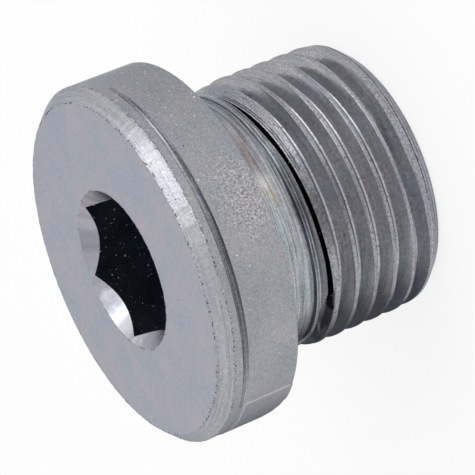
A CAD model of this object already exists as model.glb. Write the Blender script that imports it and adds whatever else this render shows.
# %% [markdown]
# # A hexagon socket screw plug
# This lesson dresses one small machine part: a zinc-plated steel plug that closes a threaded port. It is a
# single piece of metal, so there is one object to model. Its form comes from a few workshop steps, and the
# mesh follows them: turn the blank, mark its rim and its run-out, punch the socket, wind the thread, and
# join the two.

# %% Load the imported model, which fixes every size
import math

import bpy
from mathutils import Euler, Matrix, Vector, noise


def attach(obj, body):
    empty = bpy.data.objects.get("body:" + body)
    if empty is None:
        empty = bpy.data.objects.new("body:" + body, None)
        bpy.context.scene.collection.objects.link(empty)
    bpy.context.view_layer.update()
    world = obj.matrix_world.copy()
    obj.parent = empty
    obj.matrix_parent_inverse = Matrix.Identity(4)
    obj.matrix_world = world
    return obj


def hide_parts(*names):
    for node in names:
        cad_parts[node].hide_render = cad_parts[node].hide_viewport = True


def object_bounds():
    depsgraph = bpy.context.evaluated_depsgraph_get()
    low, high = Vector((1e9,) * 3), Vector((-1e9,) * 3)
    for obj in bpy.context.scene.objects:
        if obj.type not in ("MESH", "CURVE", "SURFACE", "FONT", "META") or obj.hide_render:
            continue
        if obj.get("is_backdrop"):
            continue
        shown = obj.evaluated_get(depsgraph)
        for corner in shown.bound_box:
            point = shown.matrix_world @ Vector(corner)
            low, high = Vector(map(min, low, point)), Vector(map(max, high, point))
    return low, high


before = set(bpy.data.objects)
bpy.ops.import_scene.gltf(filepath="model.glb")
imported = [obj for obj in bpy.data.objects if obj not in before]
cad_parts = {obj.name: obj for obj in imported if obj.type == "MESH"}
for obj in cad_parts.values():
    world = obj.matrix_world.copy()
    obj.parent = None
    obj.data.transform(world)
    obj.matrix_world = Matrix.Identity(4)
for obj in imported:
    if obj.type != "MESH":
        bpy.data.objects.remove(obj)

cad_low, cad_high = (Vector(corner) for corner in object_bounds())
print("CAD box, mm:", [round(side * 1000, 3) for side in cad_high - cad_low])

# %% [markdown]
# ## Sizes
# The head's diameter and the plug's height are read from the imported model. The rest are the usual measures
# of a plug for this port. Everything is written in millimetres and turned to metres by MM where Blender
# needs it. A "side" is an angle about the axis, in degrees from the place where the rim's groove is deepest.

# %% Sizes of the plug, in millimetres
MM = 0.001
HEAD_R = min(cad_high.x, cad_high.y) / MM
TOP_Z = cad_high.z / MM
SEAL_Z = 12.0                  # the sealing face under the head
CHAMFER = 0.75                 # round the front face
REAR_BREAK = 0.04              # round the sealing face
GROOVE_TOP_Z = 15.73
GROOVE_BOTTOM_Z = 15.25
GROOVE_RIDGE_Z = 15.50         # a low ridge along the groove's floor
GROOVE_RIDGE = 0.03
GROOVE_DEPTH = 0.14            # on its deepest side
GROOVE_HALF_ARC = 64.0         # degrees from the deepest side to where it fades out
FRONT_SIDE = -116.0            # degrees about Z, the groove's deepest side
PITCH = 25.4 / 19              # 19 threads to the inch
NECK_R = 7.9
NECK_FILLET = 0.3
LIP_R = 8.02                   # the raised lip where the thread's run-out begins
LIP_BOTTOM_Z = 8.65
THREAD_R = 8.331               # G 3/8, over the crests
FULL_THREAD_TOP_Z = 7.0        # the crests are full below this
END_TAPER_Z = 1.6              # and fall away again below this
END_TAPER_R = 8.211
END_CHAMFER_Z = 0.65
END_R = 7.661
TOUCH = 0.001                  # closer than this is the same place
NEAR = 0.01                    # closer than this is the same ring of points
print("head radius and height, mm:", round(HEAD_R, 3), round(TOP_Z, 3))

# %% [markdown]
# ## Helpers
# Each modelling step below is an operator, as if clicked by hand. Operators act on whatever is selected, and
# loading the model leaves its nodes selected, so the first helper clears that. Faces are then picked in code
# by their place.

# %% Helpers for objects and selection
MERGE = 0.0002                 # millimetres, points closer than this become one


def clear_selection():
    """Nothing selected, and object mode."""
    if bpy.context.object and bpy.context.object.mode != "OBJECT":
        bpy.ops.object.mode_set(mode="OBJECT")
    bpy.ops.object.select_all(action="DESELECT")


def pick(piece):
    """Only this piece selected and active."""
    clear_selection()
    piece.select_set(True)
    bpy.context.view_layer.objects.active = piece


def settle(piece):
    """The piece's place goes into its mesh, the mesh is closed, and its faces are turned outwards."""
    pick(piece)
    bpy.ops.object.transform_apply(location=True, rotation=True, scale=True)
    bpy.ops.object.mode_set(mode="EDIT")
    bpy.ops.mesh.select_all(action="SELECT")
    bpy.ops.mesh.remove_doubles(threshold=MERGE * MM)
    bpy.ops.mesh.delete_loose()
    bpy.ops.mesh.select_all(action="SELECT")
    bpy.ops.mesh.fill_holes(sides=8)
    bpy.ops.mesh.normals_make_consistent(inside=False)
    bpy.ops.object.mode_set(mode="OBJECT")


def combine(piece, tool, operation):
    """A boolean with another closed piece, which is used up."""
    pick(piece)
    boolean = piece.modifiers.new("combine", "BOOLEAN")
    boolean.operation = operation
    boolean.solver = "EXACT"
    boolean.double_threshold = 0
    boolean.object = tool
    bpy.ops.object.modifier_apply(modifier=boolean.name)
    bpy.data.objects.remove(tool)


# %% Helpers for places round the axis
def polar(point):
    """A point in metres as radius in millimetres, angle about Z in radians, and height in millimetres."""
    x, y, z = point / MM
    return math.hypot(x, y), math.atan2(y, x), z


def from_polar(radius, angle, height):
    """The point in metres at this radius and height in millimetres and this angle in radians."""
    return Vector((radius * math.cos(angle), radius * math.sin(angle), height)) * MM


def side_of(angle):
    """The side of an angle about Z: degrees from the groove's deepest place, from -180 to 180."""
    return (math.degrees(angle) - FRONT_SIDE + 180) % 360 - 180


def smooth(value, low, high):
    """0 below low, 1 above high, and an even rise between."""
    t = min(1.0, max(0.0, (value - low) / (high - low)))
    return t * t * (3 - 2 * t)


# %% [markdown]
# ## Turning
# A lathe makes rings. A ring is a circle with many sides: it is extruded upwards along the axis and scaled
# to the next radius, once for each corner of the section. A revolve of an outline would give the same solid,
# but this way each ring's size can be read in the list.

# %% A turned solid from a list of rings
def turn(name, rings, sides):
    """A closed solid through rings of (radius, height) in millimetres, from the lowest up."""
    clear_selection()
    radius, height = rings[0]
    bpy.ops.mesh.primitive_circle_add(
        vertices=sides, radius=radius * MM, fill_type="NGON", location=(0, 0, height * MM)
    )
    piece = bpy.context.object
    piece.name = name
    bpy.ops.object.mode_set(mode="EDIT")
    bpy.ops.mesh.select_all(action="SELECT")
    for next_radius, next_height in rings[1:]:
        bpy.ops.mesh.extrude_region_move(
            TRANSFORM_OT_translate={"value": (0, 0, (next_height - height) * MM)}
        )
        factor = next_radius / radius
        bpy.ops.transform.resize(value=(factor, factor, 1), center_override=(0, 0, next_height * MM))
        radius, height = next_radius, next_height
    bpy.ops.object.mode_set(mode="OBJECT")
    settle(piece)
    return piece


def arc(centre_r, centre_z, radius, start, end, steps):
    """Points of an arc in the section, angles in degrees from the outward direction."""
    angles = [math.radians(start + (end - start) * i / steps) for i in range(steps + 1)]
    return [(centre_r + radius * math.cos(a), centre_z + radius * math.sin(a)) for a in angles]


# %% [markdown]
# ## The run-out's rings
# Where the neck ends, the rolling dies pushed up fine ridges. Behind them a slot opens into the thread's
# first groove, and beside it lie hair-fine folds. They could be carved into the finished solid, but a few
# more rings on the lathe are simpler. They are listed by their distance from the sealing face, to be told
# apart later.

# %% Rings of the run-out
NECK_END = 2.80                # distance of the neck's end from the sealing face
RIDGES = [                     # (distance from the sealing face, radius): tops and valleys in turn
    (NECK_END, NECK_R),
    (2.90, 7.86),
    (3.06, 7.87),
    (3.11, 8.00),
    (3.17, LIP_R),
    (3.24, 7.95),
    (3.31, LIP_R),
    (3.37, 8.03),
    (3.45, 7.95),
    (3.53, 8.04),
]
SLOT_LEFT = 3.69               # distance of the slot's edges from the sealing face, in front
SLOT_RIGHT = 3.99
SLOT_WALL = 0.04
HAIR_LINES = (0.09, 0.22)      # the folds, distances from the slot's right edge
HAIR_W = 0.07
OVER_CREST = 0.02              # the blank stands this far outside the crests, so the two never coincide


def cone_r(distance):
    """Radius of the run-out cone at this distance from the sealing face."""
    share = (distance - SEAL_Z + LIP_BOTTOM_Z) / (LIP_BOTTOM_Z - FULL_THREAD_TOP_Z)
    return LIP_R + (THREAD_R + OVER_CREST - LIP_R) * max(0.0, share)


slot_edges = [SLOT_LEFT, SLOT_LEFT + SLOT_WALL, SLOT_RIGHT - SLOT_WALL, SLOT_RIGHT]
hair_edges = [slot_edges[-1] + line + HAIR_W * share for line in HAIR_LINES for share in (0, 0.5, 1)]
print("rings of the run-out:", len(RIDGES) + len(slot_edges) + len(hair_edges))

# %% [markdown]
# ## The blank
# The blank is the plug before its thread: end chamfer, a cylinder a hair over the crests, the run-out cone
# that the thread fades into, the neck, the head with its groove, and the front chamfer. It has a column of
# points for each degree, because its rim and its run-out are then moved point by point.

# %% Turn the blank
BLANK_SIDES = 360
FILLET_STEPS = 6
GROOVE_WALL = 0.09             # width of the groove's sloping walls
FACE_EDGE_R = HEAD_R - CHAMFER
RIM_RISES = (REAR_BREAK, 0.2, 0.4, 0.7, 1.2, 2.0, 2.8)     # heights of the rim's rings over the sealing face

rim_heights = [SEAL_Z + rise for rise in RIM_RISES] + [
    GROOVE_BOTTOM_Z, GROOVE_BOTTOM_Z + GROOVE_WALL, GROOVE_RIDGE_Z, GROOVE_TOP_Z - GROOVE_WALL, GROOVE_TOP_Z,
    TOP_Z - CHAMFER,
]
blank_rings = (
    [
        (END_R, 0),
        (END_TAPER_R, END_CHAMFER_Z),
        (THREAD_R + OVER_CREST, END_TAPER_Z),
        (THREAD_R + OVER_CREST, FULL_THREAD_TOP_Z),
    ]
    + [(cone_r(edge), SEAL_Z - edge) for edge in reversed(slot_edges + hair_edges)]
    + [(radius, SEAL_Z - distance) for distance, radius in reversed(RIDGES)]
    + arc(NECK_R + NECK_FILLET, SEAL_Z - NECK_FILLET, NECK_FILLET, 180, 90, FILLET_STEPS)
    + [(HEAD_R - REAR_BREAK, SEAL_Z)]
    + [(HEAD_R, height) for height in rim_heights]
    + [(FACE_EDGE_R, TOP_Z)]
)
blank = turn("blank", blank_rings, BLANK_SIDES)
print("blank faces:", len(blank.data.polygons))

# %% [markdown]
# ## The rim
# The head's rim was finished in a chuck that held the part slightly off-centre. So the groove is deep on one
# side and fades out on the other, and from a thin seam on, the rim keeps its cold-formed skin, a little
# proud and with a rounded rear edge. A boolean would leave slivers where such surfaces part, so the rings'
# points are moved instead.

# %% What the off-centre cut leaves
SEAM = -62.0                   # the side where the cut ends
SEAM_STEP = 0.35               # degrees between the columns of points that form the seam
SEAM_FOOT = 0.03               # the cut's foot beside the seam goes this much deeper
SKIN_END = (150.0, 179.0)      # the sides between which the cut fades out the other way
SKIN_PROUD = 0.045             # how far the cold-formed skin stands out
PROUD_ARC = (-20.0, 70.0)      # the cut nears the skin's radius between these sides
SKIN_TOP_Z = 15.28
SKIN_BEVEL = [                 # (ring, its height beside the seam)
    (GROOVE_BOTTOM_Z, 15.19),
    (GROOVE_BOTTOM_Z + GROOVE_WALL, 15.30),
]


def groove_depth(side):
    """How deep the off-centre cut goes on this side."""
    offset = GROOVE_DEPTH / (1 - math.cos(math.radians(GROOVE_HALF_ARC)))
    return max(0.0, GROOVE_DEPTH - offset * (1 - math.cos(math.radians(side))))


def skin_share(side):
    """1 where the rim kept its cold-formed skin, 0 where it was turned."""
    if side < SEAM + NEAR:
        return 1.0
    return smooth(side, *SKIN_END)


print("groove depth in front, mm:", groove_depth(0), " at the seam:", round(groove_depth(SEAM), 3))

# %% The rim's section on each side
GROOVE_NARROW = 0.6            # the groove's share of its width where it fades out
SKIN_EDGE_ROUND = 0.62         # radius of the skin's rear edge
EDGE_GROWS = (3 - SEAM, 25 - SEAM)         # sides, with their sign turned, between which that radius grows
EDGE_WANES = (145.0, 178.0)    # and between which it wanes again


def skin_edge_r(side, rise):
    """Radius of the skin at this height over the sealing face."""
    edge = SKIN_EDGE_ROUND * smooth(-side, *EDGE_GROWS) * (1 - smooth(-side, *EDGE_WANES))
    if rise < edge:
        return HEAD_R - (edge - math.sqrt(max(0.0, edge ** 2 - (edge - rise) ** 2)))
    return HEAD_R


def rim_place(side, height):
    """Radius and height of a point of the rim, from the height of its ring."""
    at_foot = height < SEAL_Z + REAR_BREAK / 2
    turned_r = HEAD_R - SKIN_PROUD * (1 - smooth(side, *PROUD_ARC)) - (REAR_BREAK if at_foot else 0)
    share = skin_share(side)
    bevel = [z for ring, z in SKIN_BEVEL if abs(height - ring) < NEAR]
    if GROOVE_BOTTOM_Z - NEAR < height < GROOVE_TOP_Z + NEAR:
        on_floor = GROOVE_BOTTOM_Z + NEAR < height < GROOVE_TOP_Z - NEAR
        depth = groove_depth(side)
        middle = (GROOVE_BOTTOM_Z + GROOVE_TOP_Z) / 2
        height = middle + (height - middle) * (GROOVE_NARROW + (1 - GROOVE_NARROW) * depth / GROOVE_DEPTH)
        if on_floor:
            ridge = GROOVE_RIDGE if abs(height - GROOVE_RIDGE_Z) < 3 * NEAR else 0
            turned_r -= max(0.0, depth - ridge)
    if SEAM < side < SEAM + 1.5 * SEAM_STEP and SEAL_Z + 0.05 < height < SKIN_TOP_Z + 0.1:
        turned_r -= SEAM_FOOT
    if bevel:
        height += (bevel[0] - height) * share
    skin_r = skin_edge_r(side, height - SEAL_Z)
    if at_foot:
        skin_r = min(skin_r, HEAD_R - REAR_BREAK)
    if height > SKIN_TOP_Z:
        skin_r = turned_r
    return turned_r + (skin_r - turned_r) * share, height


# %% Move the rim's points
RAGGED = 0.055                 # the chamfer's edges wander by this much
RAGS_PER_MM = (2.9, 3.0)       # round the rim and along the axis
CHAMFER_DENT = 0.6             # share of that wander by which the chamfer's outer edge is worn in


def shape_rim(piece):
    """Gather the columns of points near the seam, then put every point of the rim in its place."""
    for vertex in piece.data.vertices:
        radius, angle, height = polar(vertex.co)
        if height < SEAL_Z - TOUCH or radius < FACE_EDGE_R - 0.1:
            continue
        side = side_of(angle)
        column = round((side - SEAM) / (360 / BLANK_SIDES))
        if -2 <= column <= 3:
            side = SEAM + column * SEAM_STEP
        rag_at = Vector((math.radians(side) * radius * RAGS_PER_MM[0], height * RAGS_PER_MM[1], 0))
        if height > TOP_Z - NEAR:
            radius += RAGGED * noise.noise(rag_at)
        elif height > TOP_Z - CHAMFER - NEAR:
            radius = HEAD_R - SKIN_PROUD * (1 - skin_share(side) * 0.5) * (1 - smooth(side, *PROUD_ARC))
            radius -= RAGGED * CHAMFER_DENT * abs(noise.noise(rag_at))
            height -= RAGGED * noise.noise(rag_at + Vector((0, 7, 0)))
        else:
            radius, height = rim_place(side, height)
        vertex.co = from_polar(radius, math.radians(side + FRONT_SIDE), height)


shape_rim(blank)
print("rim radius in front, mm:", rim_place(0, SEAL_Z + 2)[0])

# %% [markdown]
# ## The run-out
# The ridges and the slot behind them follow the thread, so they come nearer to the head from one side to the
# other. The slot starts as a hair line, grows deep within a third of a turn, and then the thread's own
# groove takes over. As on the rim, the points of the rings are moved, because the forms are too thin for a
# clean boolean.

# %% Where the slot and the folds run
LEAD = PITCH / 360             # how far the thread moves along the axis for each degree
SLOT_START = 64.0              # the side where the slot starts
SLOT_FULL = 36.0               # and where it is deep
SLOT_FADE = (-68.0, -84.0)     # between these sides it gives way to the thread's groove
SLOT_RISE = 0.0001             # the slot's start bends towards the head
SLOT_SHAPE = [                 # (side, left edge, right edge), the edges as distances with the lead taken out
    (64, 3.77, 3.79),
    (45, 3.66, 3.85),
    (30, 3.60, 3.90),
    (15, 3.68, 3.91),
    (0, 3.66, 3.95),
    (-15, 3.68, 3.98),
    (-30, 3.75, 4.03),
    (-45, 3.73, 4.10),
    (-56, 3.60, 4.14),
    (-70, 3.50, 4.14),
]
HAIR_FADE = (2.0, 26.0, 56.0, 68.0)        # the folds show between the first and the last of these sides


def slot_place(side):
    """The slot's two edges on this side."""
    for (high, left_1, right_1), (low, left_0, right_0) in zip(SLOT_SHAPE, SLOT_SHAPE[1:]):
        if low <= side <= high:
            share = (side - low) / (high - low)
            return left_0 + (left_1 - left_0) * share, right_0 + (right_1 - right_0) * share
    return SLOT_SHAPE[0][1:] if side > 0 else SLOT_SHAPE[-1][1:]


def slot_share(side):
    """1 where the slot is deep, 0 where there is none."""
    return smooth(-side, -SLOT_START, -SLOT_FULL) * (1 - smooth(-side, -SLOT_FADE[0], -SLOT_FADE[1]))


def hair_share(side):
    """1 where the fine folds are deep, 0 where there are none."""
    start, full, wane, end = HAIR_FADE
    return smooth(side, start, full) * (1 - smooth(side, wane, end))


def thread_rise(side):
    """How much nearer to the head the slot is on this side, along the axis."""
    return LEAD * side + SLOT_RISE * min(SLOT_START, max(0.0, side)) ** 2


print("slot width in front, mm:", round(slot_place(0)[1] - slot_place(0)[0], 3))

# %% Where the ridges run
RIDGE_LEAD = 0.0033            # millimetres for each degree: the ridges follow the thread nearly all the way
RIDGE_CLEAR = 0.03             # between the last ridge and the slot


def ridge_squeeze(side):
    """1 where the ridges have their full width, less where the slot's start pushes them together."""
    room = slot_place(side)[0] - thread_rise(side) - RIDGE_CLEAR - (NECK_END - RIDGE_LEAD * side)
    return min(1.0, room / (RIDGES[-1][0] - NECK_END))


def ridge_place(side, distance):
    """Where a ridge lies on this side, as a distance from the sealing face."""
    return NECK_END - RIDGE_LEAD * side + (distance - NECK_END) * ridge_squeeze(side)


print("ridges' width where the slot starts:", round(ridge_squeeze(SLOT_START), 3), "of the full width")

# %% Move the run-out's points
SLOT_DEPTH = 0.60
HAIR_DEPTH = 0.10
VALLEY_DEPTH = 0.13            # the valley behind the neck is deeper by this where the slot is wide
VALLEY_ARC = (-5.0, 25.0)      # the sides between which that ends
RUNOUT_ARC = (90.0, 170.0)     # towards the far side the run-out becomes a plain ring


def shape_runout(piece):
    """Put every point of the ridges, the slot and the folds in its place."""
    valley = [distance for distance, radius in RIDGES[1:3]]
    for vertex in piece.data.vertices:
        radius, angle, z = polar(vertex.co)
        distance = SEAL_Z - z
        if not NECK_END - TOUCH < distance < hair_edges[-1] + TOUCH:
            continue
        side = side_of(angle)
        near = 1 - smooth(abs(side), *RUNOUT_ARC)
        if distance < RIDGES[-1][0] + TOUCH:
            if min(abs(distance - place) for place in valley) < NEAR:
                radius -= VALLEY_DEPTH * near * (1 - smooth(side, *VALLEY_ARC))
            radius = NECK_R + (radius - NECK_R) * (1 - (1 - ridge_squeeze(side)) * near)
            distance += (ridge_place(side, distance) - distance) * near
        else:
            left, right = slot_place(side)
            depth = 0
            if slot_edges[0] + NEAR < distance < slot_edges[-1] - NEAR:
                depth = SLOT_DEPTH * slot_share(side)
            if min(abs(distance - floor) for floor in hair_edges[1::3]) < NEAR:
                depth = HAIR_DEPTH * hair_share(side)
            if distance < SLOT_RIGHT + TOUCH:
                share = (distance - SLOT_LEFT) / (SLOT_RIGHT - SLOT_LEFT)
                distance = left + (right - left) * share
            else:
                distance += right - SLOT_RIGHT
            distance -= thread_rise(side) * near
            radius = cone_r(distance) - depth
        vertex.co = from_polar(radius, angle, SEAL_Z - distance)


shape_runout(blank)
print("slot depth in front, mm:", round(SLOT_DEPTH * slot_share(0), 3))

# %% [markdown]
# ## The socket
# A punch presses the hexagon into the cold head, and a countersink clears its mouth. The cutter is a six-
# sided cylinder, and a turned tool with a shallow cone for the floor and a wide one for the mouth. Two flats
# face along Y. The socket goes into the blank before the thread does, as in the shop, and each boolean then
# stays a simple one.

# %% Punch the socket
HEX_AF = 8.1                   # across the flats: an 8 mm key with room to turn
HEX_DEPTH = 7.0
FLOOR_ANGLE = 140.0
HEX_CORNER_R = HEX_AF / 2 / math.cos(math.radians(30))
MOUTH_R = HEX_CORNER_R + 0.22
STEM_R = HEX_AF / 2 - 0.5      # the turned tool is this thin between its two cones
SINK_R = HEX_AF / 2 - 0.3      # the countersink's cone starts here
TIP_R = 0.02                   # the floor's cone ends in a tiny flat, and clears the flats by as much
CONE_SIDES = 96


def hexagon_tool():
    """The punch: a hexagonal prism that reaches past the face."""
    height = HEX_DEPTH + 1
    clear_selection()
    bpy.ops.mesh.primitive_cylinder_add(
        vertices=6,
        radius=HEX_CORNER_R * MM,
        depth=height * MM,
        location=(0, 0, (TOP_Z - HEX_DEPTH + height / 2) * MM),
        rotation=(0, 0, math.radians(30)),
    )
    tool = bpy.context.object
    settle(tool)
    return tool


def cone_tool():
    """The floor's cone and the countersink, as one turned tool with a stem between them."""
    floor_h = HEX_AF / 2 / math.tan(math.radians(FLOOR_ANGLE / 2))
    foot_z = TOP_Z - HEX_DEPTH
    rings = [
        (TIP_R, foot_z - floor_h),
        (HEX_AF / 2 - TIP_R, foot_z + 0.01),
        (STEM_R, foot_z + 0.5),
        (STEM_R, TOP_Z - (MOUTH_R - SINK_R)),
        (SINK_R, TOP_Z - (MOUTH_R - SINK_R)),
        (MOUTH_R + 0.5, TOP_Z + 0.5),
    ]
    return turn("cones", rings, CONE_SIDES)


combine(blank, hexagon_tool(), "DIFFERENCE")
combine(blank, cone_tool(), "DIFFERENCE")
print("socket, mm across its flats:", HEX_AF, " faces:", len(blank.data.polygons))

# %% [markdown]
# ## The thread
# The thread was rolled: dies pressed its form into the shank, with round roots and flat crests. One pitch of
# that form is drawn as a line, from root to root. It could be swept along a helix curve, but the Screw
# modifier winds it up the axis and joins its turns by itself. Planes cut both ends flat, which closes it.

# %% One pitch of the thread
FLANK = 27.5                   # degrees, half the thread's angle
ROOT_ROUND = 0.137329 * PITCH  # radius of the root
DEPTH = 0.640327 * PITCH
ROOT_R = THREAD_R - DEPTH
SHOULDER = 0.05                # radius of the crest's two edges: the dies left its top flat
ROOT_STEPS = 5
SHOULDER_STEPS = 4


def thread_form():
    """One pitch of the thread's section as (radius, height), from one root's middle to the next."""
    bend = 90 - FLANK
    root = arc(ROOT_R + ROOT_ROUND, 0, ROOT_ROUND, 180, 180 - bend, ROOT_STEPS)
    root_r, root_z = root[-1]
    corner_z = root_z + (THREAD_R - root_r) * math.tan(math.radians(FLANK))
    shoulder_z = corner_z + SHOULDER * math.tan(math.radians(bend / 2))
    low_edge = arc(THREAD_R - SHOULDER, shoulder_z, SHOULDER, -bend, 0, SHOULDER_STEPS)
    high_edge = arc(THREAD_R - SHOULDER, PITCH - shoulder_z, SHOULDER, 0, bend, SHOULDER_STEPS)
    next_root = arc(ROOT_R + ROOT_ROUND, PITCH, ROOT_ROUND, 180 + bend, 180, ROOT_STEPS)
    return root + low_edge + high_edge + next_root


print("points of the thread's form:", len(thread_form()), " root radius, mm:", round(ROOT_R, 3))

# %% Wind the thread
THREAD_SIDES = 192
THREAD_MERGE = 0.0005          # millimetres
GROOVE_AT_FRONT = 3.665        # distance of a groove's middle from the sealing face, in front
ROD_FOOT_Z = -1.0              # the rod reaches past the blank, which trims it
ROD_TOP_Z = 9.6


def wind_thread(low_z, high_z):
    """A threaded rod between two heights, closed by flat ends."""
    form = thread_form()
    phase = (SEAL_Z - GROOVE_AT_FRONT - low_z) / PITCH - FRONT_SIDE / 360
    start_z = low_z - 2 * PITCH + (phase % 1) * PITCH
    clear_selection()
    bpy.ops.mesh.primitive_plane_add(size=MM, location=(form[0][0] * MM, 0, start_z * MM))
    piece = bpy.context.object
    piece.name = "rod"
    bpy.ops.object.mode_set(mode="EDIT")
    bpy.ops.mesh.select_all(action="SELECT")
    bpy.ops.mesh.merge(type="CENTER")
    for (r0, z0), (r1, z1) in zip(form, form[1:]):
        bpy.ops.mesh.extrude_vertices_move(
            TRANSFORM_OT_translate={"value": ((r1 - r0) * MM, 0, (z1 - z0) * MM)}
        )
    bpy.ops.object.mode_set(mode="OBJECT")
    bpy.ops.object.transform_apply(location=True)
    screw = piece.modifiers.new("wind", "SCREW")
    screw.axis = "Z"
    screw.angle = 2 * math.pi
    screw.screw_offset = PITCH * MM
    screw.iterations = math.ceil((high_z - low_z) / PITCH) + 3
    screw.steps = THREAD_SIDES
    screw.render_steps = THREAD_SIDES
    screw.use_merge_vertices = True
    screw.merge_threshold = THREAD_MERGE * MM
    bpy.ops.object.modifier_apply(modifier=screw.name)
    bpy.ops.object.mode_set(mode="EDIT")
    bpy.ops.mesh.select_all(action="SELECT")
    bpy.ops.mesh.remove_doubles(threshold=THREAD_MERGE * MM)
    for height, outward in ((low_z, -1), (high_z, 1)):
        bpy.ops.mesh.select_all(action="SELECT")
        bpy.ops.mesh.bisect(
            plane_co=(0, 0, height * MM), plane_no=(0, 0, outward), use_fill=True, clear_outer=True,
            threshold=1e-8,
        )
    bpy.ops.object.mode_set(mode="OBJECT")
    settle(piece)
    return piece


rod = wind_thread(ROD_FOOT_Z, ROD_TOP_Z)
print("rod faces:", len(rod.data.polygons))

# %% [markdown]
# ## The thread's last turn
# The dies press the first turns fully, but the last one only in part: its crest is wide on one side, and
# below it there is no groove, only three fine steps. Changing the wound form there would break its even
# spacing, so a turned collar is added to the rod. It reaches past the blank, which will trim it, and its
# upper edge follows the crest.

# %% Add the collar
CORE_R = ROOT_R - 0.2          # hidden inside the rod
COLLAR_R = THREAD_R + 0.05     # just past the blank
COLLAR_TOP_Z = 1.0             # before it is moved along the crest
COLLAR_EDGE = 10.70            # distance of the wide crest's edge from the sealing face, in front
COLLAR_LEAD = 0.0085           # how far that edge moves along the axis for each degree, on one side
COLLAR_LOWEST_Z = 0.84
COLLAR_ARC = (-100.0, 100.0)   # the sides between which it is whole
COLLAR_FADE = 40.0
END_STEPS = [(7.70, 0.13), (7.95, 0.46), (8.10, 0.73)]      # radius and height of the steps' valleys

collar_rings = [(COLLAR_R, ROD_FOOT_Z)]
for step_r, step_z in END_STEPS:
    collar_rings += [(COLLAR_R, step_z - 0.03), (step_r, step_z - 0.01), (step_r, step_z + 0.01)]
    collar_rings += [(COLLAR_R, step_z + 0.05)]
collar_rings += [(COLLAR_R, COLLAR_TOP_Z), (CORE_R, COLLAR_TOP_Z + 0.5)]
collar = turn("collar", collar_rings, THREAD_SIDES)
for vertex in collar.data.vertices:
    radius, angle, z = polar(vertex.co)
    side = side_of(angle)
    whole = smooth(side, COLLAR_ARC[0] - COLLAR_FADE, COLLAR_ARC[0])
    whole *= 1 - smooth(side, COLLAR_ARC[1], COLLAR_ARC[1] + COLLAR_FADE)
    radius = CORE_R + (radius - CORE_R) * whole
    if z > COLLAR_TOP_Z - NEAR:
        edge = max(COLLAR_LOWEST_Z, SEAL_Z - COLLAR_EDGE + COLLAR_LEAD * min(0.0, side))
        at_core = z > COLLAR_TOP_Z + NEAR
        z = edge + (COLLAR_R - CORE_R) * math.tan(math.radians(FLANK)) if at_core else edge
    vertex.co = from_polar(radius, angle, z)
combine(rod, collar, "UNION")
print("rod faces with the collar:", len(rod.data.polygons))

# %% [markdown]
# ## Joining thread and blank
# The thread's first groove opens out of the slot and is full only after a third of a turn. A filling is
# joined to the rod: a turned piece whose lower edge is then moved to follow the crest, so that it fills what
# lies above the first groove, and that groove too where it has not opened. What lies inside the blank is
# kept.

# %% Fill the run-out
GROOVE_OPENS = 0.295           # share of a turn after the slot's start where the first groove opens
GROOVE_FULL = 0.37             # and where it is whole
FILL_FOOT_Z = 5.0
FILL_STEP = 0.1
FILL_R = LIP_R + 0.2           # just past the blank


def fill_edge(opened):
    """The filling's edge as (pitches from the groove's middle, radius), for a groove opened by this share."""
    start = min(1.0, 2.5 * opened)
    wall = -0.05 + 0.45 * opened
    low = FILL_R + (CORE_R - FILL_R) * start
    shelf = FILL_R - 0.34 * start
    ridge = FILL_R - 0.18 * start
    top = min(0.48, wall + 0.20)
    return [
        (-0.5, CORE_R),
        (-0.46, low),
        (wall, low),
        (wall + 0.03, shelf),
        (top, ridge),
        (0.5, FILL_R + 0.05),
    ]


ring_count = len(fill_edge(0))
fill_rings = [(CORE_R, FILL_FOOT_Z + FILL_STEP * i) for i in range(ring_count + 1)]
fill = turn("fill", fill_rings + [(HEAD_R + 1, 9.5), (HEAD_R + 1, TOP_Z + 1)], THREAD_SIDES)
for vertex in fill.data.vertices:
    radius, angle, z = polar(vertex.co)
    ring = round((z - FILL_FOOT_Z) / FILL_STEP) - 1
    if not 0 <= ring < ring_count:
        continue
    turned_by = (SLOT_START - side_of(angle)) % 360 / 360
    middle = SEAL_Z - GROOVE_AT_FRONT + (SLOT_START / 360 - turned_by) * PITCH
    pitches, radius = fill_edge(smooth(turned_by, GROOVE_OPENS, GROOVE_FULL))[ring]
    vertex.co = from_polar(radius, angle, middle + pitches * PITCH)
print("rings of the filling that follow the crest:", ring_count)

# %% Join all and keep what lies in the blank
SHARP = 17                     # degrees, edges sharper than this stay sharp

combine(rod, fill, "UNION")
combine(rod, blank, "INTERSECT")
plug = rod
plug.name = "plug"
settle(plug)
bpy.ops.object.shade_smooth_by_angle(angle=math.radians(SHARP))
print("plug faces:", len(plug.data.polygons))

# %% [markdown]
# ## Materials
# The plug is steel with plain zinc plating: a metal, a little blue, and dull, because the acid bath before
# plating left it matt. What changes from place to place is how the steel under the zinc was made. A material
# for each place could be built by hand, but one recipe is surer to stay one metal: each finish fills in its
# own numbers.

# %% Colours and nodes
def colour(code):
    """An sRGB hex colour as the linear values that Blender uses."""
    parts = [int(code[i:i + 2], 16) / 255 for i in (1, 3, 5)]
    return [p / 12.92 if p <= 0.04045 else ((p + 0.055) / 1.055) ** 2.4 for p in parts] + [1.0]


def add(tree, kind, links=None, **settings):
    """A node of this kind, with its properties, input values and links. Hands back its first live output."""
    node = tree.nodes.new(kind)
    for name, value in settings.items():
        setattr(node, name, value)
    for socket, value in (links or {}).items():
        if isinstance(value, bpy.types.NodeSocket):
            tree.links.new(value, node.inputs[socket])
        else:
            node.inputs[socket].default_value = value
    return next(socket for socket in node.outputs if socket.enabled)


print("a middle grey in linear light:", round(colour("#808080")[0], 3))

# %% [markdown]
# ### Where a pattern sits
# Object coordinates are in metres. A Mapping node turns them to millimetres, and turns the groove's deepest
# side to the front, so a pattern's size is written as it would be measured. Tool lines run round the axis:
# their noise is stretched by giving it the place across the lines at full scale, and the place round the
# axis as a point of a small circle, which joins up without a seam.

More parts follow.
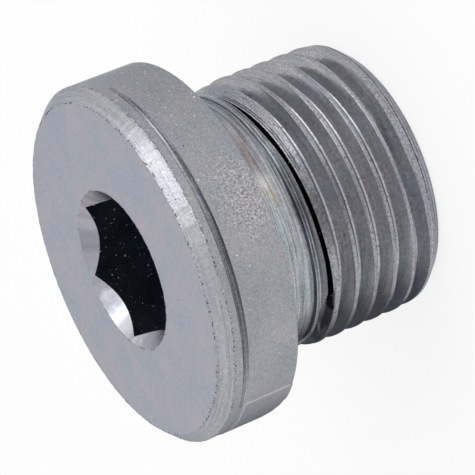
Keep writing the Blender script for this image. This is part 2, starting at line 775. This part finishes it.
# %% Place on the plug
LINE_TURNS = 2.0               # how quickly tool lines change round the axis


def place_in_mm(tree):
    """Object coordinates in millimetres, with the groove's deepest side along +X."""
    place = add(tree, "ShaderNodeTexCoord").node.outputs["Object"]
    return add(
        tree, "ShaderNodeMapping",
        {"Vector": place, "Rotation": (0, 0, math.radians(-FRONT_SIDE)), "Scale": (1 / MM, 1 / MM, 1 / MM)},
    )


def round_the_axis(tree, place):
    """The place as (radius less height, and a point of a circle), for a noise stretched round the axis."""
    parts = add(tree, "ShaderNodeSeparateXYZ", {0: place}).node.outputs
    flat = add(tree, "ShaderNodeCombineXYZ", {"X": parts["X"], "Y": parts["Y"]})
    radius = add(tree, "ShaderNodeVectorMath", {0: flat}, operation="LENGTH")
    across = add(tree, "ShaderNodeMath", {0: radius, 1: parts["Z"]}, operation="SUBTRACT")
    heading = add(tree, "ShaderNodeVectorMath", {0: flat}, operation="NORMALIZE")
    wide = add(tree, "ShaderNodeVectorMath", {0: heading, "Scale": LINE_TURNS}, operation="SCALE")
    wide = add(tree, "ShaderNodeSeparateXYZ", {0: wide}).node.outputs
    return add(tree, "ShaderNodeCombineXYZ", {"X": across, "Y": wide["X"], "Z": wide["Y"]})


# %% [markdown]
# ### Single marks
# A few marks lie at one place only: a patch that the acid left rougher, and pale or dark stains where the
# bath dried. Each is a soft ball round a point of the surface, and a noise frays its edge.

# %% A frayed spot at one place
FRAYS_PER_MM = 2.2             # a spot's edge wanders about every half millimetre
SPOT_CORE = 0.25               # share of its reach over which a spot is whole


def at(side, height, radius):
    """A point of the surface, from its side in degrees, and its height and radius in millimetres."""
    angle = math.radians(side)
    return (radius * math.cos(angle), radius * math.sin(angle), height)


def spot(tree, place, middle, reach):
    """1 near a point, fading to 0 at this reach, which is three numbers for a long patch."""
    noise_at = {"Vector": place, "Scale": FRAYS_PER_MM, "Detail": 3.0}
    fray = add(tree, "ShaderNodeTexNoise", noise_at).node.outputs["Color"]
    fray = add(tree, "ShaderNodeVectorMath", {0: fray, 1: (0.5, 0.5, 0.5)}, operation="SUBTRACT")
    moved = add(tree, "ShaderNodeVectorMath", {0: fray, 1: reach, 2: place}, operation="MULTIPLY_ADD")
    off = add(tree, "ShaderNodeVectorMath", {0: moved, 1: middle}, operation="SUBTRACT")
    off = add(tree, "ShaderNodeVectorMath", {0: off, 1: reach}, operation="DIVIDE")
    away = add(tree, "ShaderNodeVectorMath", {0: off}, operation="LENGTH")
    fade = {"Value": away, "From Min": 1.0, "From Max": SPOT_CORE}
    return add(tree, "ShaderNodeMapRange", fade, clamp=True)


# %% [markdown]
# ### Battered edges
# The two edges of the front chamfer were knocked about in the plating barrel, and so was the edge of the
# socket's mouth. Radius less height is the same number all along such an edge, so one comparison finds each.

# %% Where the battered edges are
EDGES = [                      # (radius less height, reach to either side)
    (FACE_EDGE_R - TOP_Z, 0.09),
    (HEAD_R - TOP_Z + CHAMFER, 0.09),
    (MOUTH_R - TOP_Z, 0.07),
]


def near_edges(tree, place):
    """1 close to a battered edge, 0 elsewhere."""
    across = add(tree, "ShaderNodeSeparateXYZ", {0: round_the_axis(tree, place)})
    near = 0.0
    for edge, reach in EDGES:
        here = add(tree, "ShaderNodeMath", {0: across, 1: edge, 2: reach}, operation="COMPARE")
        near = add(tree, "ShaderNodeMath", {0: near, 1: here}, operation="MAXIMUM")
    return near


print("battered edges:", len(EDGES))


# %% [markdown]
# ### Clouds and stains
# Plain zinc has faint pink and blue clouds a few millimetres wide. Two tints are mixed by a wide noise,
# which is simpler than painting them and never repeats. Stains are mixed in over them, one spot at a time.

# %% Tint of the zinc
CLOUDS_PER_MM = 0.35           # clouds about 3 mm wide
CLOUD_RANGE = (0.36, 0.64)     # between these values of the noise one tint turns to the other


def tinted(tree, place, clouds, tints, stains):
    """The base colour: two tints mixed by the clouds, and the stains over them."""
    first, second = (colour(tint) for tint in tints)
    share = add(
        tree, "ShaderNodeMapRange", {"Value": clouds, "From Min": CLOUD_RANGE[0], "From Max": CLOUD_RANGE[1]}
    )
    base = add(tree, "ShaderNodeMix", {"Factor": share, "A": first, "B": second}, data_type="RGBA")
    for middle, reach, tint in stains:
        mark = spot(tree, place, middle, reach)
        base = add(tree, "ShaderNodeMix", {"Factor": mark, "A": base, "B": colour(tint)}, data_type="RGBA")
    return base


print("clouds, mm across:", round(1 / CLOUDS_PER_MM, 1))


# %% [markdown]
# ### Grain
# The steel's grain is a fine noise: its hollows are lower and hold a darker film, so it works on the colour
# and the bump alike. The real grain, zinc crystals on pickled steel, is about 0.01 mm across and would
# vanish in the render. It is drawn 0.12 to 0.25 mm across, the finest that still shows.

# %% Height and shade of the grain
def grained(tree, place, grain, rough_patch):
    """Height and shade of a grain of (size, height, contrast), with more contrast in the rough patch."""
    size, depth, contrast = grain
    noise_at = {"Vector": place, "Scale": 1 / size, "Detail": 2.0, "Roughness": 0.7}
    fine = add(tree, "ShaderNodeTexNoise", noise_at)
    height = add(tree, "ShaderNodeMath", {0: fine, 1: depth}, operation="MULTIPLY")
    strength = 2 * contrast
    if rough_patch:
        middle, reach, more = rough_patch
        strength = add(
            tree, "ShaderNodeMath", {0: spot(tree, place, middle, reach), 1: 2 * more, 2: strength},
            operation="MULTIPLY_ADD",
        )
    from_middle = add(tree, "ShaderNodeMath", {0: fine, 1: 0.5}, operation="SUBTRACT")
    shade = add(tree, "ShaderNodeMath", {0: from_middle, 1: strength, 2: 1.0}, operation="MULTIPLY_ADD")
    return height, shade


# %% [markdown]
# ### Tool lines
# A cutting edge leaves a line for each turn of the lathe, and a rolling die drags its own lines along the
# crest. A Wave texture would give them one even width, so a noise is stretched round the axis instead. The
# real lines are 0.03 to 0.1 mm apart, and they are drawn 0.07 to 0.14 mm apart so that they show.

# %% Height and shade of the tool lines
def lined(tree, place, lines, height, shade):
    """Height and shade with tool lines of (size, height, contrast) laid over them."""
    size, depth, contrast = lines
    around = round_the_axis(tree, place)
    stretched = add(tree, "ShaderNodeVectorMath", {0: around, 1: (1 / size, 1, 1)}, operation="MULTIPLY")
    noise_at = {"Vector": stretched, "Scale": 1.0, "Detail": 2.0, "Roughness": 0.7}
    tool = add(tree, "ShaderNodeTexNoise", noise_at)
    height = add(tree, "ShaderNodeMath", {0: tool, 1: depth, 2: height}, operation="MULTIPLY_ADD")
    line_shade = add(
        tree, "ShaderNodeMath", {0: tool, 1: 2 * contrast, 2: 1 - contrast}, operation="MULTIPLY_ADD"
    )
    shade = add(tree, "ShaderNodeMath", {0: shade, 1: line_shade}, operation="MULTIPLY")
    return height, shade


# %% [markdown]
# ### Pits and specks
# The acid eats small pits, and a little white salt of the bath dries on as specks. Both are 0.1 to 0.2 mm
# wide. One noise serves for both: its lowest spots are pits, darker and deeper than the rest, and its
# highest are specks.

# %% Pits and specks
PIT_TINT = "#505157"
PIT_EDGE = 0.08                # how soft a pit's edge is, in the noise's own values
SPECK_TINT = "#CFD2D6"
SPECK_EDGE = 0.06


def pitted(tree, place, spots, pits, edge_pits, base, height):
    """Base colour and height with pits, and with more of them near the battered edges."""
    limit = pits[1]
    if edge_pits:
        limit = add(
            tree, "ShaderNodeMath", {0: near_edges(tree, place), 1: edge_pits, 2: limit},
            operation="MULTIPLY_ADD",
        )
    below = add(tree, "ShaderNodeMath", {0: limit, 1: spots}, operation="SUBTRACT")
    pit = add(tree, "ShaderNodeMapRange", {"Value": below, "From Min": 0.0, "From Max": PIT_EDGE})
    base = add(tree, "ShaderNodeMix", {"Factor": pit, "A": base, "B": colour(PIT_TINT)}, data_type="RGBA")
    height = add(tree, "ShaderNodeMath", {0: pit, 1: -pits[2], 2: height}, operation="MULTIPLY_ADD")
    return base, height


def specked(tree, spots, specks, base):
    """Base colour with specks, and how metallic each place is, because salt is no metal."""
    speck = add(
        tree, "ShaderNodeMapRange",
        {"Value": spots, "From Min": 1 - specks, "From Max": 1 + SPECK_EDGE - specks},
    )
    base = add(tree, "ShaderNodeMix", {"Factor": speck, "A": base, "B": colour(SPECK_TINT)}, data_type="RGBA")
    metal = add(tree, "ShaderNodeMath", {0: 1.0, 1: speck}, operation="SUBTRACT")
    return base, metal


# %% [markdown]
# ### The recipe
# The parts above come together in one Principled shader. It is fully metallic, with the default IOR of a
# metal, and its gloss wanders a little with the clouds. Where a tool's lines are strong, the gloss is drawn
# out across them.

# %% One recipe for all finishes
EDGE_TINT = "#DDDFE3"          # a grazing view keeps this of the light: the dull film spoils the mirror there
GLOSS_SWING = 0.06             # the roughness wanders this much to either side
GLOSS_RANGE = (0.3, 0.7)       # of the clouds


def zinc_finish(name, tints, roughness, grain, lines=None, pits=(0.2, 0, 0), edge_pits=0, specks=0,
                rough_patch=None, stains=(), anisotropy=0):
    """Zinc plating: grain and lines are (size, height, contrast), and pits are (size, share, depth)."""
    material = bpy.data.materials.new(name)
    material.use_nodes = True
    tree = material.node_tree
    shader = tree.nodes["Principled BSDF"].inputs
    place = place_in_mm(tree)
    noise_at = {"Vector": place, "Scale": CLOUDS_PER_MM, "Detail": 4.0, "Roughness": 0.55}
    clouds = add(tree, "ShaderNodeTexNoise", noise_at)
    base = tinted(tree, place, clouds, tints, stains)
    height, shade = grained(tree, place, grain, rough_patch)
    if lines:
        height, shade = lined(tree, place, lines, height, shade)
    base = add(
        tree, "ShaderNodeMix", {"Factor": 1.0, "A": base, "B": shade}, data_type="RGBA", blend_type="MULTIPLY"
    )
    noise_at = {"Vector": place, "Scale": 1 / pits[0], "Detail": 1.5, "Roughness": 0.5}
    spots = add(tree, "ShaderNodeTexNoise", noise_at)
    if pits[2]:
        base, height = pitted(tree, place, spots, pits, edge_pits, base, height)
    shader["Metallic"].default_value = 1.0
    if specks:
        base, metal = specked(tree, spots, specks, base)
        tree.links.new(metal, shader["Metallic"])
    gloss = add(
        tree, "ShaderNodeMapRange",
        {
            "Value": clouds, "From Min": GLOSS_RANGE[0], "From Max": GLOSS_RANGE[1],
            "To Min": roughness - GLOSS_SWING, "To Max": roughness + GLOSS_SWING,
        },
    )
    bump = add(tree, "ShaderNodeBump", {"Height": height, "Distance": MM, "Strength": 1.0})
    tree.links.new(base, shader["Base Color"])
    tree.links.new(gloss, shader["Roughness"])
    tree.links.new(bump, shader["Normal"])
    shader["Specular Tint"].default_value = colour(EDGE_TINT)
    if anisotropy:
        shader["Anisotropic"].default_value = anisotropy
        along = add(tree, "ShaderNodeTangent", direction_type="RADIAL", axis="Z")
        tree.links.new(along, shader["Tangent"])
    return material


# %% [markdown]
# ### Finishes of the head
# The face was pressed by a punch, and the chamfer and the groove were turned. The rim was turned too, but
# the acid ate its lines away and left it matt, and one patch of it came out rougher. The chamfer and the
# groove still have their lines, so their gloss is drawn out across them. Each finish below says what its
# making gives the eye.

# %% Finishes of the head
ROUGH_PATCH = (at(7, 13.1, 11), (2.8, 3.4, 2.0))           # its middle and its reach, on the rim

finishes = [
    # A smooth punch: an even satin grey with soft clouds, and nicks only along its edge.
    zinc_finish(
        "zinc_on_cold_formed_face", ("#B7B3BC", "#ABB2BC"), 0.40, grain=(0.25, 0.005, 0.2),
        pits=(0.18, 0.25, 0.006), edge_pits=0.21,
    ),
    # A turning tool's cut: brighter and sharper than the face, with lines round it and battered edges.
    zinc_finish(
        "zinc_on_turned_chamfer", ("#ADAEB4", "#A8AAB1"), 0.32, grain=(0.16, 0.012, 0.4),
        lines=(0.14, 0.012, 0.5), pits=(0.16, 0.25, 0.012), edge_pits=0.21, anisotropy=0.3,
    ),
    # Etched by the acid: a dull, sandy grey with no lines, strewn with dark pits and pale specks.
    zinc_finish(
        "zinc_on_matt_rim", ("#A6A5A9", "#9A9FA5"), 0.40, grain=(0.12, 0.016, 0.5),
        pits=(0.14, 0.28, 0.012), edge_pits=0.14, specks=0.31,
        rough_patch=(*ROUGH_PATCH, 1.2), stains=[(*ROUGH_PATCH, "#A9A7AB")],
    ),
    # A narrow cut that the plating reached badly: dark, streaky and glossier, darkest at its deepest.
    zinc_finish(
        "zinc_on_turned_groove", ("#8C8F97", "#838891"), 0.28, grain=(0.13, 0.010, 0.8),
        lines=(0.14, 0.02, 1.4), anisotropy=0.3, stains=[(at(-20, 15.5, 10.9), (4.5, 9.5, 1.2), "#75777E")],
    ),
    # The step where the cut ends: rubbed bright, a pale thread of light.
    zinc_finish("zinc_on_seam_edge", ("#B2B3BA", "#ACAFB6"), 0.30, grain=(0.12, 0.010, 0.4)),
]
print("finishes of the head:", [finish.name for finish in finishes])

# %% [markdown]
# ### Finishes of the neck and the slot
# The neck was turned and dried with stains from the bath. Down in the slot the plating hardly took, so the
# folds are nearly black, and where the slot opens they have a thin coat. A dark tint does that better than
# depth alone, because bare steel with a film of oil reflects little.

# %% Finishes of the neck and the slot
finishes += [
    # A turning tool's cut that is still fresh: fine glossy lines, with rusty, pale and bluish stains.
    zinc_finish(
        "zinc_on_turned_neck", ("#A5A4A8", "#979FA6"), 0.28, grain=(0.15, 0.010, 0.5),
        lines=(0.13, 0.02, 1.2), pits=(0.2, 0.29, 0.006), anisotropy=0.3,
        stains=[
            (at(26, 10.2, 7.9), (1.5, 2.1, 0.8), "#989092"),
            (at(11, 10.2, 7.9), (1.0, 0.9, 0.7), "#BFBCBB"),
            (at(5, 10.1, 7.9), (0.8, 0.7, 0.5), "#B3B0A3"),
            (at(-8, 10.3, 7.9), (1.1, 2.1, 0.6), "#A9B1B8"),
            (at(-6, 8.7, 8.0), (1.4, 3.2, 0.7), "#7C7D83"),
        ],
    ),
    # Steel that the bath never reached: nearly black, with a few specks of salt.
    zinc_finish("bare_steel_fold", ("#2C2D32", "#26272B"), 0.40, grain=(0.12, 0.010, 0.8), specks=0.30),
    # A thin coat: half as bright as the rest.
    zinc_finish("thin_zinc_on_fold", ("#7E7F85", "#777980"), 0.35, grain=(0.12, 0.010, 0.8)),
]
print("finishes so far:", len(finishes))

# %% [markdown]
# ### Finishes of the thread and the socket
# The dies burnished the flanks and left the crests rough and torn, so flanks are smooth and mirror their
# dark neighbours, and crests are grainy and paler. The socket was punched smooth, and its countersink was
# turned.

# %% Finishes of the thread and the socket
finishes += [
    # The dies only grazed it: torn along its lines, coarse, pitted, and darker towards the slot.
    zinc_finish(
        "zinc_on_rolled_crest", ("#A3A1A6", "#9A9DA6"), 0.30, grain=(0.12, 0.020, 1.1),
        lines=(0.07, 0.012, 0.8), pits=(0.12, 0.33, 0.010),
        stains=[
            (at(-8, 4.5, 8.3), (2.4, 2.6, 4.0), "#8F8E94"),
            (at(-8, 7.3, 8.3), (3.0, 3.6, 2.2), "#6C6B71"),
        ],
    ),
    # Metal folded over beside the slot: dull and streaky.
    zinc_finish("zinc_on_rolled_shelf", ("#78777D", "#707278"), 0.30, grain=(0.12, 0.012, 0.8)),
    # Burnished by the dies: the smoothest finish, which shows its dark surroundings.
    zinc_finish(
        "zinc_on_rolled_flank", ("#AAA8AC", "#A2A6AD"), 0.20, grain=(0.18, 0.006, 0.5),
        lines=(0.09, 0.004, 0.5), pits=(0.15, 0.32, 0.006),
    ),
    # Turned: fine bright rings, rubbed nearly white where the key enters.
    zinc_finish(
        "zinc_on_countersink", ("#ACA5AE", "#A4A7B2"), 0.28, grain=(0.15, 0.005, 0.2),
        lines=(0.09, 0.014, 1.0), anisotropy=0.3, stains=[(at(-142, 16.6, 4.6), (2.7, 2.7, 2.0), "#DCDEE6")],
    ),
    # Punched: smooth and dark, because it only mirrors itself, with specks of salt and dust.
    zinc_finish(
        "zinc_on_punched_socket", ("#8A909A", "#858B96"), 0.22, grain=(0.12, 0.004, 0.2), pits=(0.13, 0, 0),
        specks=0.30,
    ),
]
finish_names = [finish.name for finish in finishes]
print("finishes:", finish_names)

# %% [markdown]
# ### Which face has which finish
# A finish could be painted on by hand, but the steps of the making already say where each one lies. So a
# face is given its finish by its place: how far out, how high, and on which side.

# %% Where each finish lies
FOLD_END = -55.0               # the side where the bare slot gives way to the plated thread
FOLD_FRAY = 5.0                # degrees by which that line wanders
SHELF_START = 22.0             # the side where the dull strip beside the slot begins
SHELF_DEPTH = 0.1
CREST_DEPTH = 0.03             # a crest reaches this far below the thread's envelope
SOCKET_LOWEST_Z = 8.4


def outer_r(height):
    """Radius of the thread's envelope at this height in millimetres."""
    corners = [
        (END_R, 0), (END_TAPER_R, END_CHAMFER_Z), (THREAD_R, END_TAPER_Z), (THREAD_R, FULL_THREAD_TOP_Z),
    ]
    for (r0, z0), (r1, z1) in zip(corners, corners[1:]):
        if height < z1:
            return r0 + (r1 - r0) * (height - z0) / (z1 - z0)
    return cone_r(SEAL_Z - height)


def in_slot(side, distance, radius):
    """Whether a place lies down in the slot."""
    if not SLOT_FADE[1] < side < SLOT_START:
        return False
    left, right = slot_place(side)
    level = distance + thread_rise(side)
    return left - NEAR < level < right + NEAR and radius < cone_r(distance) - 0.02


def rim_finish(side, height):
    """Which finish a face of the rim has."""
    if SEAM < side < SEAM + 2 * SEAM_STEP and SEAL_Z + 0.3 < height < SKIN_TOP_Z:
        return "zinc_on_seam_edge" if side < SEAM + SEAM_STEP else "zinc_on_turned_groove"
    if skin_share(side) > 0.5 and SKIN_BEVEL[0][1] < height < SKIN_BEVEL[1][1]:
        return "zinc_on_seam_edge"
    in_groove = GROOVE_BOTTOM_Z < height < GROOVE_TOP_Z and groove_depth(side) > 0.003
    return "zinc_on_turned_groove" if in_groove else "zinc_on_matt_rim"


def finish_at(centre, normal):
    """Which finish a face of the plug has, by its place in metres and its direction."""
    radius, angle, height = polar(centre)
    distance, side = SEAL_Z - height, side_of(angle)
    if radius < MOUTH_R and SOCKET_LOWEST_Z < height < TOP_Z - TOUCH:
        opens = normal.z > 0.5 and height > TOP_Z - 1
        return "zinc_on_countersink" if opens else "zinc_on_punched_socket"
    if height > TOP_Z - NEAR or height < TOUCH:
        return "zinc_on_cold_formed_face"
    if height > TOP_Z - CHAMFER - NEAR:
        return "zinc_on_turned_chamfer"
    if height > SEAL_Z + TOUCH:
        return rim_finish(side, height)
    if distance < ridge_place(side, RIDGES[-1][0]):
        return "zinc_on_turned_neck"
    if in_slot(side, distance, radius):
        frayed = side + FOLD_FRAY * noise.noise(Vector((side * 0.7, distance * 9, 0)))
        return "bare_steel_fold" if frayed > FOLD_END else "thin_zinc_on_fold"
    on_shelf = distance + LEAD * side < slot_place(side)[0] and radius > cone_r(distance) - SHELF_DEPTH
    if on_shelf and SLOT_FADE[1] < side < SHELF_START:
        return "zinc_on_rolled_shelf"
    on_crest = radius > outer_r(height) - CREST_DEPTH or normal.z < -0.99
    return "zinc_on_rolled_crest" if on_crest else "zinc_on_rolled_flank"


print("finish of the rim in front:", rim_finish(0, SEAL_Z + 2))

# %% Give each face its finish
plug.data.materials.clear()
for finish in finishes:
    plug.data.materials.append(finish)
for face in plug.data.polygons:
    face.material_index = finish_names.index(finish_at(face.center, face.normal))
for i, name in enumerate(finish_names):
    print(name, "faces:", sum(face.material_index == i for face in plug.data.polygons))

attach(plug, "root")
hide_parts("screw_plug")

# %% [markdown]
# ## Studio
# Bare metal shows its surroundings. So the floor and the sky round it are white for rays that reflect, while
# the light that falls on the plug stays at a plain level. Brighter lamps would whiten the floor too, but the
# metal's own colour would be lost.

# %% Floor
FLOOR_SIZE = 1.2               # metres
FLOOR_GLOW = 0.8               # share of plain white that a ray sees in the floor


def white_where_seen(tree, share):
    """Mixes plain white emission into the material for camera, glossy and transmission rays."""
    rays = add(tree, "ShaderNodeLightPath").node.outputs
    seen = rays["Is Camera Ray"]
    for other in ("Is Glossy Ray", "Is Transmission Ray"):
        seen = add(tree, "ShaderNodeMath", {0: seen, 1: rays[other]}, operation="MAXIMUM")
    part = add(tree, "ShaderNodeMath", {0: seen, 1: share}, operation="MULTIPLY")
    glow = add(tree, "ShaderNodeEmission", {"Color": (1, 1, 1, 1), "Strength": 1.0})
    plain = tree.nodes["Principled BSDF"].outputs[0]
    mix = add(tree, "ShaderNodeMixShader", {0: part, 1: plain, 2: glow})
    tree.links.new(mix, tree.nodes["Material Output"].inputs["Surface"])


clear_selection()
bpy.ops.mesh.primitive_plane_add(size=FLOOR_SIZE, location=(0, 0, 0))
floor = bpy.context.object
floor.name = "floor"
paper = bpy.data.materials.new("white_paper")
paper.use_nodes = True
paper_shader = paper.node_tree.nodes["Principled BSDF"].inputs
paper_shader["Base Color"].default_value = colour("#F4F4F4")
paper_shader["Roughness"].default_value = 0.9
white_where_seen(paper.node_tree, FLOOR_GLOW)
floor.data.materials.append(paper)
floor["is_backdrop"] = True
print("floor, m:", FLOOR_SIZE)

# %% [markdown]
# ### Sky and lamp
# A plain white sky gives soft light from all sides. One large softbox stands to the side, and gives the
# chamfer its bright arc. It is aimed by the two angles at which the plug sees it.

# %% Sky
SKY_STRENGTH = 0.9

sky = bpy.data.worlds.new("studio")
bpy.context.scene.world = sky
sky.use_nodes = True
sky_inputs = sky.node_tree.nodes["Background"].inputs
sky_inputs["Color"].default_value = (1, 1, 1, 1)
sky_inputs["Strength"].default_value = SKY_STRENGTH
print("sky strength:", SKY_STRENGTH)

# %% Softbox
KEY_AZIMUTH = -61              # degrees about Z, as seen from the plug
KEY_ELEVATION = 33
KEY_DISTANCE = 200             # millimetres
KEY_WIDTH = 160
KEY_HEIGHT = 250
KEY_RADIANCE = 1.4
KEY_AIM_Z = 10


def facing(azimuth, elevation):
    """How an object is turned that looks at the plug from these angles."""
    return Euler((math.radians(90 - elevation), 0, math.radians(azimuth + 90))).to_matrix()


clear_selection()
key_turned = facing(KEY_AZIMUTH, KEY_ELEVATION)
key_place = Vector((0, 0, KEY_AIM_Z * MM)) + key_turned @ Vector((0, 0, KEY_DISTANCE * MM))
bpy.ops.object.light_add(type="AREA", location=key_place)
key = bpy.context.object
key.name = "key"
key.rotation_euler = key_turned.to_euler()
key.data.shape = "RECTANGLE"
key.data.size = KEY_WIDTH * MM
key.data.size_y = KEY_HEIGHT * MM
key.data.energy = KEY_RADIANCE * math.pi * KEY_WIDTH * KEY_HEIGHT * MM * MM
key.visible_camera = False
print("softbox power, W:", round(key.data.energy, 4))

# %% [markdown]
# ### Grey cards
# A studio also holds grey cards near bare metal, to give its edges a darker line. Two dark ones stand and
# lie behind the plug and a pale one lies to the right of it. The camera sees none of them: they are there
# only for reflections. The standing one turns white towards its near end and its top, so that no reflection
# of it has a hard edge.

# %% Grey cards
CARDS = [                      # (name, tint, middle and size in mm, rotation in degrees, fades)
    ("lying_card", "#54545A", (0, 27, 0.5), (22, 46), (0, 0, 0), []),
    (
        "standing_card", "#66666C", (-6.8, 13.9, 8.4), (31, 16.2), (90, 0, 64),
        [((0.438, 0.899, 0), -5.0, 2.5), ((0, 0, 1), 16.5, 14.0)],
    ),
    ("pale_card", "#E2E2E4", (31.5, -21.2, 1), (48, 52), (0, 0, -34), []),
]


def card_glow(name, tint, fades):
    """A plain glow. Each fade is (direction, white at, tint at), in millimetres along that direction."""
    material = bpy.data.materials.new(name)
    material.use_nodes = True
    tree = material.node_tree
    place = add(tree, "ShaderNodeTexCoord").node.outputs["Object"]
    seen = colour(tint)
    grey = 1.0
    for direction, white_at, tint_at in fades:
        along = add(tree, "ShaderNodeVectorMath", {0: place, 1: direction}, operation="DOT_PRODUCT")
        share = add(
            tree, "ShaderNodeMapRange", {"Value": along, "From Min": white_at * MM, "From Max": tint_at * MM}
        )
        grey = add(tree, "ShaderNodeMath", {0: grey, 1: share}, operation="MULTIPLY")
    if fades:
        seen = add(tree, "ShaderNodeMix", {"Factor": grey, "A": (1, 1, 1, 1), "B": seen}, data_type="RGBA")
    glow = add(tree, "ShaderNodeEmission", {"Color": seen, "Strength": 1.0})
    tree.links.new(glow, tree.nodes["Material Output"].inputs["Surface"])
    return material


for name, tint, middle, size, rotation, fades in CARDS:
    clear_selection()
    bpy.ops.mesh.primitive_plane_add(
        size=1, location=[c * MM for c in middle], rotation=[math.radians(r) for r in rotation]
    )
    card = bpy.context.object
    card.name = name
    card.scale = (size[0] * MM, size[1] * MM, 1)
    bpy.ops.object.transform_apply(location=True, rotation=True, scale=True)
    card.data.materials.append(card_glow(name, tint, fades))
    card.visible_camera = False
    card.visible_diffuse = False
    card.visible_shadow = False
    card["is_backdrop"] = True
print("grey cards:", len(CARDS))

# %% [markdown]
# ## Camera
# A long lens from some way off keeps the plug's proportions calm. The camera looks down at the standing plug
# and is rolled on its side, so the plug seems to lie, although its axis stays upright in the model.

# %% Camera
AIM = Vector((-0.564, 0.644, 9.233)) * MM
VIEW_AZIMUTH = -115.732        # degrees about Z, the direction from the plug to the camera
VIEW_ELEVATION = 24.604
VIEW_ROLL = -112.292
VIEW_DISTANCE = 185.48 * MM
FOCAL_LENGTH = 238.59
SENSOR_WIDTH = 36
CLIP_START = 0.01              # metres

clear_selection()
bpy.ops.object.camera_add()
camera = bpy.context.object
camera.name = "camera"
rolled = facing(VIEW_AZIMUTH, VIEW_ELEVATION) @ Euler((0, 0, math.radians(VIEW_ROLL))).to_matrix()
camera.rotation_euler = rolled.to_euler()
camera.location = AIM + rolled @ Vector((0, 0, VIEW_DISTANCE))
camera.data.lens = FOCAL_LENGTH
camera.data.sensor_width = SENSOR_WIDTH
camera.data.clip_start = CLIP_START
bpy.context.scene.camera = camera
bpy.context.scene.view_settings.view_transform = "Standard"
print("camera, mm from the plug:", round(VIEW_DISTANCE / MM, 2))
